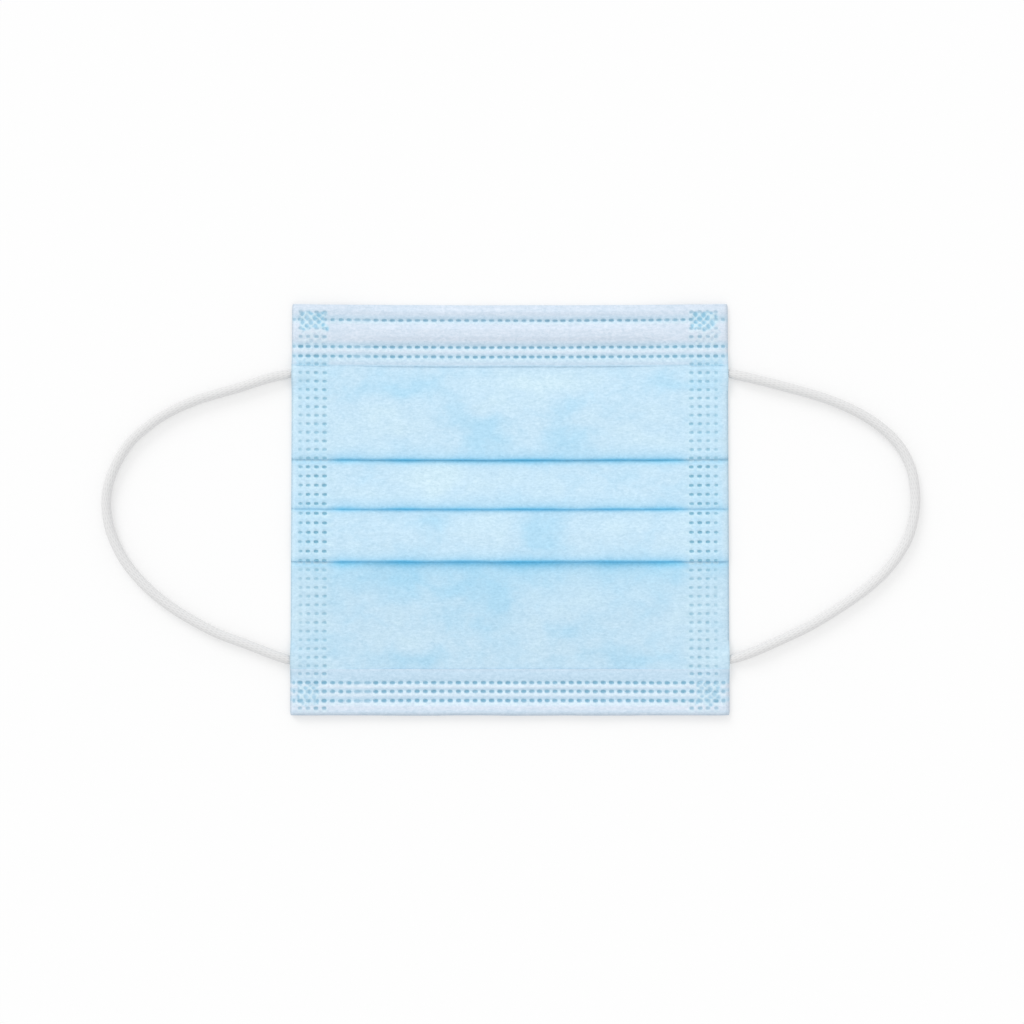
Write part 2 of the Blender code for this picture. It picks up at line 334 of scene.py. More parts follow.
# Blue of the lowest strip, and how much of it its welded sides lose
LOWEST_BLUE = 0.25
LOWEST_SIDE_PALE = 0.30
LOWEST_SHADE = 0.04

# Shade at each fold, from the nose to the chin, and its reach in mm
FOLD_SHADE = (0.22, 0.04, 0.09)
FOLD_SHADE_REACH = 0.45
# Painted crease shade above each fold, in deep blue: a haze and a sharp part, each with its reach in mm
CREASE_SHADE_HAZE = 0.24
CREASE_SHADE_HAZE_REACH = 3.2
CREASE_SHADE_SHARP = 0.80
CREASE_SHADE_SHARP_REACH = 0.72
# Painted shadow below each fold, darker and bluer, with painted glow of light let through the cloth.
# Columns: reach of the sharp part and of the haze in mm, share of the haze
FOLD_SHADOW_GLOWS = ((1.00, 2.0, 0.10), (0.70, 2.0, 0.10), (1.50, 5.5, 0.40))

# Fibres of the cloth. Columns: stretch, scale, detail, roughness and distortion of the noise, share
FIBRES = (
    ((0.45, 1.0, 1.0), 1750.0, 2.0, 0.5, 0.6, 0.45),
    ((0.55, 1.0, 1.0), 900.0, 3.0, 0.6, 1.2, 0.35),
    ((1.0, 0.6, 1.0), 1350.0, 2.0, 0.5, 0.9, 0.20),
)
FIBRE_RANGE = (0.36, 0.64)
# How much the fibres change red, green and blue
GRAIN = (0.125, 0.090, 0.075)
# Cloud value at which the cloth is wholly deep or pale, and how far its fine blotches change that value
CLOUD_RANGE = 1.4
BLOTCH = 0.40
# How far the painted highlights on the rims and the welds take on their colours
HIGHLIGHT_TINT = 0.55
WELD_TINT = 0.90

# Ear loops, in the places of the solids. Columns: x, y, how far the weld presses the cord
LEFT_LOOP = (
    (-0.0610, 0.0570, 1.00),
    (-0.0609, 0.0520, 1.00),
    (-0.0613, 0.0480, 1.00),
    (-0.0626, 0.0452, 0.95),
    (-0.0648, 0.0431, 0.80),
    (-0.0679, 0.0422, 0.55),
    (-0.0748, 0.0407, 0.00),
    (-0.0846, 0.0376, 0.00),
    (-0.0963, 0.0342, 0.00),
    (-0.1042, 0.0309, 0.00),
    (-0.1107, 0.0270, 0.00),
    (-0.1173, 0.0214, 0.00),
    (-0.1218, 0.0148, 0.00),
    (-0.1244, 0.0084, 0.00),
    (-0.1253, 0.0028, 0.00),
    (-0.1248, -0.0034, 0.00),
    (-0.1231, -0.0093, 0.00),
    (-0.1198, -0.0158, 0.00),
    (-0.1146, -0.0223, 0.00),
    (-0.1081, -0.0282, 0.00),
    (-0.1003, -0.0335, 0.00),
    (-0.0911, -0.0384, 0.00),
    (-0.0813, -0.0421, 0.00),
    (-0.0728, -0.0454, 0.00),
    (-0.0679, -0.0470, 0.55),
    (-0.0649, -0.0481, 0.80),
    (-0.0629, -0.0502, 0.95),
    (-0.0618, -0.0530, 1.00),
    (-0.0615, -0.0575, 1.00),
)
RIGHT_LOOP = (
    (0.0607, 0.0570, 1.00),
    (0.0606, 0.0520, 1.00),
    (0.0611, 0.0480, 1.00),
    (0.0625, 0.0452, 0.95),
    (0.0648, 0.0431, 0.80),
    (0.0680, 0.0422, 0.55),
    (0.0751, 0.0406, 0.00),
    (0.0850, 0.0381, 0.00),
    (0.0948, 0.0354, 0.00),
    (0.1026, 0.0326, 0.00),
    (0.1104, 0.0287, 0.00),
    (0.1169, 0.0240, 0.00),
    (0.1216, 0.0187, 0.00),
    (0.1246, 0.0123, 0.00),
    (0.1258, 0.0051, 0.00),
    (0.1256, -0.0010, 0.00),
    (0.1240, -0.0080, 0.00),
    (0.1209, -0.0139, 0.00),
    (0.1163, -0.0197, 0.00),
    (0.1104, -0.0250, 0.00),
    (0.1026, -0.0305, 0.00),
    (0.0934, -0.0361, 0.00),
    (0.0843, -0.0405, 0.00),
    (0.0751, -0.0445, 0.00),
    (0.0682, -0.0468, 0.55),
    (0.0651, -0.0480, 0.80),
    (0.0631, -0.0501, 0.95),
    (0.0620, -0.0530, 1.00),
    (0.0617, -0.0575, 1.00),
)
CORD_DIAMETER = 0.0030
CORD_PRESSED = 0.42
CORD_SIDES = 48
CORD_RING_STEP = 0.30 * MM
CORD_RIBS = 12
CORD_LEAD = 3.0 * MM
CORD_RELIEF = 0.03
CORD_SPREAD = 0.8  # height of a pressed cord as a share of its width
CURVE_STEPS = 24
# The cloth lies at a cord's full height up to the crest, and comes down to its own beyond the reach
TENT_CREST = 1.9 * MM
TENT_REACH = 7.0 * MM
TENT_STEP = 0.8 * MM

# Lattice of the knurled patches, and the painted shade in its hollows, shifted a little towards the chin
# and the left
KNURL_PITCH = 2.55 * MM
KNURL_SLANT = 0.93
KNURL_SWAY = 0.12
HOLLOW_SHIFT = (0.10 * MM, 0.26 * MM)
HOLLOW_SHADE_STRENGTH = 0.44

# Grid lines of the meshes: columns and lines at each mark, in mm from its middle, and below each fold
MARK_COLUMNS = (-0.98, -0.8, -0.58, 0, 0.58, 0.8, 0.98)
MARK_LINES = (-0.54, -0.38, -0.2, 0, 0.2, 0.38, 0.54)
FOLD_LINES = (0.1, 0.25, 0.45, 0.7, 1.1, 1.6, 2.3, 3.2)
LEAST_GAP = 0.09 * MM
PANEL_COLUMN_STEP = 2.2 * MM
PANEL_LINE_STEP = 1.3 * MM
BAND_COLUMN_STEP = 1.3 * MM
BAND_LINE_STEP = 0.8 * MM
ARC_FACETS = 12
SHARP_ANGLE = math.radians(62)
CORD_SHARP_ANGLE = math.radians(70)
# Closer columns: start and step, in the side grids, at the rolled edges and in the knurled patches
GRID_ZONE = (54 * MM, 0.8 * MM)
ROLL_ZONE = (HALF_WIDTH - EDGE_ROLL, 0.3 * MM)
PATCH_ZONE = (55.5 * MM, 0.31 * MM)
# Closer lines in the knurled patches: start, end and step
PATCH_LINES = (50.5 * MM, 62.0 * MM, 0.33 * MM)
EASE = 1.5 * MM  # run over which the lines above a fold bend to follow it

rng = np.random.default_rng(7)


# Camera, straight above: a pixel is 0.31 mm on the mask

camera = bpy.data.objects.new("camera", bpy.data.cameras.new("camera"))
bpy.context.scene.collection.objects.link(camera)
camera.data.lens = 85
camera.data.sensor_width = 36
camera.location = (0.00065, -0.00086, 0.752)
camera.rotation_euler = (0, 0, 0)
bpy.context.scene.camera = camera


# Numbers and tables


def mix(low, high, share):
    return low + (high - low) * share


def smooth(share):
    share = np.clip(share, 0.0, 1.0)
    return share * share * (3 - 2 * share)


def read_table(rows, at):
    """The second column of a table at places given in its first, with a gentle run between two rows."""
    keys = np.array([row[0] for row in rows], float)
    values = np.array([row[1] for row in rows], float)
    at = np.clip(at, keys[0], keys[-1])
    i = np.clip(np.searchsorted(keys, at) - 1, 0, len(keys) - 2)
    return mix(values[i], values[i + 1], smooth((at - keys[i]) / (keys[i + 1] - keys[i])))


def side_weight(across):
    return smooth((np.abs(across) - FLAT_SHARE) / (WELD_SHARE - FLAT_SHARE))


def squeeze(across):
    """Share of its height that the cloth keeps: the side welds press all layers together."""
    return mix(1.0, WELD_PRESS, side_weight(across))


def waves(count, shortest, longest):
    """Random long waves: (kx, ky, phase) rows."""
    length = rng.uniform(shortest, longest, count)
    turn = rng.uniform(0, 2 * math.pi, count)
    phase = rng.uniform(0, 2 * math.pi, count)
    k = 2 * math.pi / length
    return np.stack([k * np.cos(turn), k * np.sin(turn), phase], axis=1)


SLOW_WAVES = waves(14, 14 * MM, 40 * MM)
QUICK_WAVES = waves(22, 4.5 * MM, 10 * MM)
EDGE_WAVES = waves(8, 9 * MM, 30 * MM)
CLOUD_WAVES = waves(16, 8 * MM, 26 * MM)


def wave_sum(rows, x, y):
    total = np.zeros(np.broadcast(x, y).shape)
    for kx, ky, phase in rows:
        total = total + np.sin(kx * x + ky * y + phase)
    return total / math.sqrt(len(rows))


def ripple(across, y):
    """Soft unevenness of the lying cloth, the same for all its layers."""
    x = across * HALF_WIDTH
    free = 1 - side_weight(across)
    swell = sum(smooth(1 - np.abs(y - at * MM) / (reach * MM)) * rise * MM for at, reach, rise in SWELLS)
    slow = (1 + wave_sum(SLOW_WAVES, x, y) * 0.7) * SLOW_RIPPLE
    quick = wave_sum(QUICK_WAVES, x, y) * QUICK_RIPPLE
    return np.maximum(free * (swell + slow) + mix(0.35, 1.0, free) * quick + LEAST_RIPPLE, 0)


def curve_through(rows):
    """A smooth line through the rows of a table, read at close steps."""
    points = [Vector(row) for row in rows]
    ends = [points[0]] + points + [points[-1]]
    line = []
    for p, q, r, s in zip(ends, ends[1:], ends[2:], ends[3:]):
        for i in range(CURVE_STEPS):
            t = i / CURVE_STEPS
            pull = (r - p) * t
            bend = (2 * p - 5 * q + 4 * r - s) * t**2
            twist = (3 * q - p - 3 * r + s) * t**3
            line.append(q + (pull + bend + twist) / 2)
    return line + [points[-1]]


def even_steps(line, step):
    """Points at even distances along a line, as near to the step as fits its length."""
    line = np.array([tuple(point) for point in line])
    lengths = np.concatenate([[0.0], np.cumsum(np.hypot(*np.diff(line[:, :2], axis=0).T))])
    count = max(2, round(lengths[-1] / step))
    along = np.linspace(0, lengths[-1], count + 1)
    return np.stack([np.interp(along, lengths, line[:, i]) for i in range(3)], axis=1)


def cord_tents(x, y):
    """How high the cloth must lie to clear the flattened cords below it."""
    height = np.zeros(np.broadcast(x, y).shape)
    for route in (LEFT_LOOP, RIGHT_LOOP):
        for px, py, press in even_steps(curve_through(route), TENT_STEP):
            if abs(px) < HALF_WIDTH + 2 * MM:
                top = mix(1.0, CORD_PRESSED, press) * CORD_DIAMETER
                away = np.hypot(x - px, y - py)
                height = np.maximum(height, top * smooth((TENT_REACH - away) / (TENT_REACH - TENT_CREST)))
    return height


def place(across, y, z):
    """World places of points of the flat mask, which follow the outline and ride on the cords."""
    across, y, z = np.broadcast_arrays(across, y, z)
    up = (y + HALF_HEIGHT) / BODY_HEIGHT
    corner = np.clip(1 - (HALF_HEIGHT - np.abs(y)) / CORNER_ROUND, 0, 1)
    half_width = (NOSE_WIDTH + CHIN_SPREAD * (1 - up)) / 2 - CORNER_INSET * corner**2
    dip = NOSE_EDGE_DIP * (1 - across * across) * up + HEM_OUT * smooth(1 - up / HEM_OUT_RUN)
    lift = EDGE_LIFT * side_weight(across) * read_table(SIDE_LIFT, up)
    tents = cord_tents(across * half_width, y)
    lift = (lift**LIFT_BLEND + tents**LIFT_BLEND) ** (1 / LIFT_BLEND)
    lift += HEM_LIFT * smooth(1 - up / HEM_LIFT_RUN) * (1 - side_weight(across))
    wander = wave_sum(EDGE_WAVES, across * HALF_WIDTH, y) * EDGE_WANDER
    roll = smooth(1 - (1 - np.abs(across)) * HALF_WIDTH / EDGE_ROLL)
    height = (z + lift - tents + ripple(across, y)) * mix(1.0, EDGE_DROP, roll) + tents
    return np.stack([across * half_width, y - dip + wander, height], axis=-1)


# Weld marks


def mark_x(number, y=0.0):
    """Where a numbered mark stands across the width, at a place along the height."""
    numbers, places = zip(*MARK_PLACES)
    return float(np.interp(number, numbers, places)) * MM * (1 + MARK_SPREAD * y)


def row_marks(rows):
    """Dashes of the welded rows across the whole width: x, y, half length, half height, strength."""
    marks = []
    for y in rows:
        row_strength = EDGE_ROW_STRENGTH if y == NOSE_ROWS[0] else ROW_STRENGTH
        height = NOSE_DASH_HEIGHT if y > 0 else CHIN_DASH_HEIGHT
        for number in range(FIRST_MARK, LAST_MARK + 1):
            strength = rng.uniform(0.82, 1.0) * row_strength
            usual_half = DASH_HALF * rng.uniform(0.92, 1.05)
            share, half = ODD_DASHES.get(number, (1.0, usual_half))
            x = mark_x(number, y * MM) + rng.uniform(-0.05, 0.05) * MM
            marks.append((x, y * MM, half, height, strength * share))
    return marks


def grid_rows():
    """Each row of the side grids: (y in mm, strength)."""
    for first, last, count, strength in GRID_ROWS:
        for i in range(count):
            yield mix(first, last, i / max(count - 1, 1)), strength


def grid_marks():
    """Dots of the side grids, paler towards the edge of the mask, as row_marks gives the dashes."""
    marks = []
    for row_y, row_strength in grid_rows():
        y = row_y * MM
        for numbers in (LEFT_GRID, RIGHT_GRID[::-1]):
            for number, (share, length) in zip(numbers, DOT_COLUMNS):
                strength = row_strength * share * rng.uniform(0.8, 1.05)
                x = mark_x(number, y) + rng.uniform(-0.07, 0.07) * MM
                marks.append((x, y, DOT_HALF * length, DOT_HEIGHT, strength))
    return marks


def mark_field(x, y, marks):
    """How deep the weld marks press at each point, from 0 to 1, and the painted highlight on the rim
    below them.
    """
    field = np.zeros(np.broadcast(x, y).shape)
    highlight_and_lines = np.zeros_like(field)
    for mx, my, half, height, strength in marks:
        along = ((x - mx) / half) ** 4
        reach = along + ((y - my) / height) ** 2
        field = np.maximum(field, smooth((MARK_REACH - reach) / MARK_FADE) * strength)
        around = along + ((y - my + RIM_SHIFT) / height) ** 2
        highlight_and_lines = np.maximum(highlight_and_lines, smooth((RIM_REACH - around) / RIM_FADE) * strength)
    return field, highlight_and_lines * (1 - smooth(field * 1.6))


def knurl_at(x, y):
    """Crossed grooves of the weld tool, from 0 on its lines to 1 in the middle of its cells."""
    sway = wave_sum(QUICK_WAVES, x * 1.3, y * 1.3) * KNURL_SWAY
    first = np.abs(np.sin(math.pi * ((x + y) / KNURL_PITCH + sway)))
    second = np.abs(np.sin(math.pi * ((x - KNURL_SLANT * y) / KNURL_PITCH - sway)))
    return smooth(first * second * 1.25 + sway * 1.2)


def patch_field(x, y):
    """Knurled weld patches over the cords' ends: (pressed depth, blue, painted shade in the hollows, pale
    lines).
    """
    depth = np.zeros(np.broadcast(x, y).shape)
    stain = np.zeros_like(depth)
    hollow_shade = np.zeros_like(depth)
    lines = np.zeros_like(depth)
    knurl = knurl_at(x, y)
    # Painted shade in the hollows: the lattice moved a little towards the chin and the left
    hollow = smooth(knurl_at(x + HOLLOW_SHIFT[0], y + HOLLOW_SHIFT[1]) * 2.6 - 1.5)
    rough = wave_sum(QUICK_WAVES, x * 1.7, y * 1.7)
    uneven = np.clip(0.9 + 0.5 * rough, 0.1, 1.2)
    patchy = np.clip(0.85 + 0.15 * wave_sum(QUICK_WAVES, y * 0.9, x * 0.9), 0.4, 1.0)
    for px, py, half_width, half_height, strength, blueness in PATCHES:
        reach = np.maximum(np.abs(x / MM - px) / half_width, np.abs(y / MM - py) / half_height)
        inside = smooth((1.08 + rough * 0.16 - reach) / 0.3) * strength
        depth = np.maximum(depth, inside * knurl)
        stain = np.maximum(stain, inside * blueness * (0.66 + 0.22 * knurl) * patchy)
        hollow_shade = np.maximum(hollow_shade, inside * hollow * uneven)
        lines = np.maximum(lines, inside * smooth(1.6 - knurl * 3.2))
    return depth, stain, hollow_shade, lines


ROW_MARKS = row_marks(NOSE_ROWS + CHIN_ROWS)
GRID_MARKS = grid_marks()
GRID_CENTRES = [row_y for row_y, row_strength in grid_rows()]


# Grid lines, closer together where there are marks


def merged_lines(start, end, fine, zones, step):
    """Places from start to end: all the fine ones, and more wherever a gap is wider than the step."""
    low, high = min(start, end), max(start, end)
    found = sorted([low, high] + [f for f in fine if low < f < high])
    kept = [found[0]]
    for value in found[1:]:
        if value - kept[-1] > LEAST_GAP:
            kept.append(value)
    kept[-1] = high
    lines = []
    for a, b in zip(kept, kept[1:]):
        widest = step
        for zone_low, zone_high, zone_step in zones:
            if zone_low <= (a + b) / 2 <= zone_high:
                widest = min(widest, zone_step)
        count = max(1, math.ceil((b - a) / widest - 1e-6))
        lines += [mix(a, b, i / count) for i in range(count)]
    lines.append(high)
    return lines if start < end else lines[::-1]


def column_lines(numbers, side_zones, step):
    """Columns across the mask from -1 to 1, closer at the marks and in both sides' zones."""
    fine = [mark_x(number) + offset * MM for number in numbers for offset in MARK_COLUMNS]
    zones = []
    for inner, zone_step in side_zones:
        zones += [(-HALF_WIDTH, -inner, zone_step), (inner, HALF_WIDTH, zone_step)]
    lines = merged_lines(-HALF_WIDTH, HALF_WIDTH, fine, zones, step)
    return np.array(lines) / HALF_WIDTH


def row_lines(centres):
    return [y + offset * MM for y in centres for offset in MARK_LINES]


def edge_distance(x):
    """How far points lie from the nearer side edge, in mm."""
    return (HALF_WIDTH - np.abs(x)) / MM


def grid_share(x):
    """1 in the welded side grids and 0 outside them."""
    edge = edge_distance(x)
    return smooth((12.5 - edge) / 2.0) * smooth((edge - 1.0) / 1.2)


def outline_shade(x):
    return smooth(1 - edge_distance(x) / OUTLINE_WIDTH) * OUTLINE_SHADE


# Meshes


def unit(dy, dz):
    """Directions of unit length."""
    size = np.maximum(np.hypot(dy, dz), 1e-12)
    return dy / size, dz / size


def two_sides(y, z, half):
    """Front and back of a wall along its middle, for arrays with the path in rows."""
    dy, dz = unit(np.diff(y, axis=0), np.diff(z, axis=0))
    turn_y = np.concatenate([dy[:1], dy[:-1] + dy[1:], dy[-1:]])
    turn_z = np.concatenate([dz[:1], dz[:-1] + dz[1:], dz[-1:]])
    along_y, along_z = unit(turn_y, turn_z)
    front = (y + along_z * half, z - along_y * half)
    back = (y - along_z * half, z + along_y * half)
    return front, back


def closed_sheet(name, front, back, attributes):
    """A closed thin mesh from two grids of points, with numbers for the material at each front point."""
    rows, columns = front.shape[:2]
    count = rows * columns
    index = np.arange(count).reshape(rows, columns)
    a, b, c, d = index[:-1, :-1], index[:-1, 1:], index[1:, 1:], index[1:, :-1]
    quads = [np.stack([a, d, c, b], -1).reshape(-1, 4), np.stack([a, b, c, d], -1).reshape(-1, 4) + count]
    first, last = index[0], index[-1]
    quads.append(np.stack([first[:-1], first[1:], first[1:] + count, first[:-1] + count], -1))
    quads.append(np.stack([last[1:], last[:-1], last[:-1] + count, last[1:] + count], -1))
    first, last = index[:, 0], index[:, -1]
    quads.append(np.stack([first[:-1], first[:-1] + count, first[1:] + count, first[1:]], -1))
    quads.append(np.stack([last[1:], last[1:] + count, last[:-1] + count, last[:-1]], -1))
    quads = np.concatenate(quads)
    points = np.concatenate([front.reshape(-1, 3), back.reshape(-1, 3)])
    mesh = bpy.data.meshes.new(name)
    mesh.vertices.add(len(points))
    mesh.vertices.foreach_set("co", points.astype(np.float32).ravel())
    mesh.loops.add(quads.size)
    mesh.loops.foreach_set("vertex_index", quads.astype(np.int32).ravel())
    mesh.polygons.add(len(quads))
    mesh.polygons.foreach_set("loop_start", np.arange(0, quads.size, 4, dtype=np.int32))
    mesh.update(calc_edges=True)
    mesh.validate()
    mesh.shade_smooth()
    mesh.set_sharp_from_angle(angle=SHARP_ANGLE)
    for key, values in attributes.items():
        layer = mesh.attributes.new(key, "FLOAT", "POINT")
        both = np.concatenate([values.ravel(), np.zeros(count)])
        layer.data.foreach_set("value", both.astype(np.float32))
    obj = bpy.data.objects.new(name, mesh)
    bpy.context.scene.collection.objects.link(obj)
    return obj


def underside(strip, y):
    """Height of the underside of one strip of the panel before the welds press it."""
    if strip == LAST_STRIP:
        return PANEL_RISE * smooth((CHIN_LEAF_EDGE + CHIN_RISE_LEAD + CHIN_RISE_RUN - y) / CHIN_RISE_RUN)
    stack = STACKS[strip]
    top = FOLD_EDGES[strip] + PLEAT_TUCK
    below = underside(strip + 1, y) + stack
    if strip == 0:
        beyond = mix(stack, PANEL_RISE, np.minimum((y - top) / (NOSE_LEAF_EDGE - top), 1))
    else:
        hidden_end = FOLD_EDGES[strip - 1] + PLEAT_TUCK
        beyond = mix(stack, 0.0, (y - top) / (hidden_end - top))
    return np.where(y <= top, below, beyond)


def cloud_field(x, y):
    """Deeper blue above 0 and paler below, in clouds with wandering outlines."""
    x = x + wave_sum(CLOUD_WAVES, x, y) * 2.4 * MM
    y = y + wave_sum(CLOUD_WAVES, y, x) * 1.7 * MM
    field = wave_sum(CLOUD_WAVES, x * 0.8, y * 1.5) * 0.14
    for cx, cy, half_length, half_height, strength in CLOUDS:
        far = ((x / MM - cx) / half_length) ** 2 + ((y / MM - cy) / half_height) ** 2
        field = field + strength * np.exp(-far * 1.1)
    return CLOUD_GAIN * field - CLOUD_OFFSET


class Panel:
    """Collects the rows of the panel's middle line, from the nose edge to the chin edge."""

    def __init__(self, across):
        self.across = across
        self.squeeze = squeeze(across)
        self.y, self.z, self.half, self.shown = [], [], [], []
        self.crease, self.glow, self.shade = [], [], []

    def row(self, y, z, shown, crease, glow=0.0, shade=0.0):
        y = np.broadcast_to(y, self.across.shape)
        self.y.append(y)
        self.z.append(z * self.squeeze)
        self.half.append(CLOTH / 2 * self.squeeze)
        self.shown.append(shown)
        self.crease.append(np.broadcast_to(crease, self.across.shape))
        self.glow.append(np.broadcast_to(glow, self.across.shape))
        self.shade.append(np.broadcast_to(shade, self.across.shape))

    def layer(self, strip, layer, y, shown=False, crease=0.0, glow=0.0, shade=0.0):
        """A row on one strip (layer 0), or on the layer folded back over it (layer 1)."""
        stack = STACKS[min(strip - layer, LAST_STRIP - 1)] if layer else 0.0
        self.row(y, underside(strip, y) + layer * stack / 2 + CLOTH / 2, shown, crease, glow, shade)

    def fold(self, strip, y, turn, facets, crease):
        """Half a turn from the last row to the layer below it."""
        stack = STACKS[strip]
        top = self.z[-1] / self.squeeze
        radius = stack / 4
        for i in range(1, facets):
            angle = math.pi * i / facets
            reach = turn * radius * self.squeeze * math.sin(angle)
            self.row(y + reach, top - radius + radius * math.cos(angle), False, crease)


def make_panel():
    """The pleated panel: four strips, with a hidden layer folded back behind each but the last."""
    across = column_lines(LEFT_GRID + RIGHT_GRID, (GRID_ZONE, ROLL_ZONE), PANEL_COLUMN_STEP)
    panel = Panel(across)
    centres = [y * MM for y in GRID_CENTRES]
    # The painted crease shade and glow of the folds is weaker in the side grids, and a little uneven
    # along them
    inside = 1 - 0.6 * smooth((np.abs(across * HALF_WIDTH) - 52 * MM) / (5 * MM))
    uneven = 0.86 + 0.14 * wave_sum(SLOW_WAVES, across * HALF_WIDTH * 1.3, 0.0)
    strong = inside * uneven

    start = HALF_HEIGHT - PANEL_INSET
    shown_from = NOSE_LEAF_EDGE
    for strip in range(LAST_STRIP + 1):
        last = strip == LAST_STRIP
        edge = CHIN_LEAF_EDGE if last else FOLD_EDGES[strip]
        radius = 0.0 if last else STACKS[strip] / 4 + CLOTH / 2
        lowest = edge if last else edge + radius * WELD_PRESS
        # Hidden below the band or the pleat above, in the deep blue of the painted crease shade
        hidden_crease = strong if strip else 0.0
        for share in np.linspace(0, 0.95, 5 if strip else 20):
            panel.layer(strip, 0, mix(start, shown_from, share), False, hidden_crease)
        # Shown down to the fold, with rows at the marks
        near = [shown_from - below * MM for below in FOLD_LINES]
        for y in merged_lines(shown_from, lowest, row_lines(centres) + near, (), PANEL_LINE_STEP):
            level = np.full_like(across, y)
            if not last and y < edge + EASE:
                share = (edge + EASE - y) / (edge + EASE - lowest)
                level = mix(edge + EASE, edge + radius * panel.squeeze, share)
            crease = glow = shade = np.zeros_like(across)
            # Painted shadow and glow below the fold of the strip above
            if strip:
                below = (shown_from - level) / MM
                sharp, wide, haze = FOLD_SHADOW_GLOWS[strip - 1]
                glow = (1 - haze) * np.exp(-((below / sharp) ** 1.5)) + haze * np.exp(-below / wide)
                shade = FOLD_SHADE[strip - 1] * np.exp(-((below / FOLD_SHADE_REACH) ** 2))
            # Painted crease shade in deep blue above the fold, and painted shade at its edge
            if not last:
                over = (level - edge) / MM
                crease = CREASE_SHADE_HAZE * np.exp(-((over / CREASE_SHADE_HAZE_REACH) ** 2))
                crease = crease + CREASE_SHADE_SHARP * np.exp(-over / CREASE_SHADE_SHARP_REACH)
                shade = shade + FOLD_SHADE[strip] * np.exp(-((over / FOLD_SHADE_REACH) ** 2))
            crease, glow = np.clip(crease * strong, 0, 1), np.clip(glow * strong, 0, 1)
            panel.layer(strip, 0, level, True, crease, glow, shade)
        if last:
            break
        low = edge + radius * panel.squeeze
        high = edge + PLEAT_TUCK - radius * panel.squeeze
        panel.fold(strip, low, -1, 8, strong)
        for share in (0.0, 0.33, 0.66, 1.0):
            panel.layer(strip + 1, 1, mix(low, high, share), False, strong)
        panel.fold(strip, high, 1, 5, strong)
        start = high
        shown_from = edge
    for share in np.linspace(0.05, 1, 16):
        panel.layer(LAST_STRIP, 0, mix(CHIN_LEAF_EDGE, PANEL_INSET - HALF_HEIGHT, share))

    y, z, half = np.array(panel.y), np.array(panel.z), np.array(panel.half)
    front, back = two_sides(y, z, half)
    front = place(across[None, :], *front)
    back = place(across[None, :], *back)
    x = across[None, :] * HALF_WIDTH
    shown = np.array(panel.shown)[:, None]
    # Weld marks, and the painted highlight on their rims
    weld, highlight_and_lines = mark_field(x, y, GRID_MARKS)
    weld, highlight_and_lines = np.minimum(weld, 1) * shown, highlight_and_lines * shown
    grid = grid_share(x)
    clear = np.ones(y.shape)
    for fold in FOLD_EDGES + (NOSE_LEAF_EDGE, CHIN_LEAF_EDGE):
        clear = clear * smooth((np.abs(y - fold) / MM - 0.3) / 1.1)
    front[..., 2] += PUFF * grid * clear * (1 - weld) * shown
    front[..., 2] -= np.minimum(PRESS_DEPTH, PRESS_LIMIT * CLOTH * panel.squeeze) * weld
    lowest_strip = smooth((FOLD_EDGES[-1] - y) / (2 * MM))
    middle = smooth(1 - (np.abs(y) / MM - 15) / 3)
    top = smooth((y / MM - 15) / 3)
    welded = WELDED_BLUE + TOP_BLUE * top + MIDDLE_BLUE * middle + RIGHT_BLUE * middle * (x > 0)
    margin = smooth((3.0 - edge_distance(x)) / 1.5)
    clouds = cloud_field(x, y) + welded * grid - MARGIN_PALE * margin
    clouds = (clouds + (LOWEST_BLUE - LOWEST_SIDE_PALE * grid) * lowest_strip) * shown
    shade = np.maximum(LOWEST_SHADE * lowest_strip * shown, outline_shade(x)) + np.array(panel.shade)
    return closed_sheet("face_panel", front, back, {
        "weld": weld,
        "highlight_and_lines": highlight_and_lines,
        "crease": np.array(panel.crease),
        "glow": np.array(panel.glow),
        "cloud": clouds,
        "stain": np.zeros_like(weld),
        "shade": shade,
    })


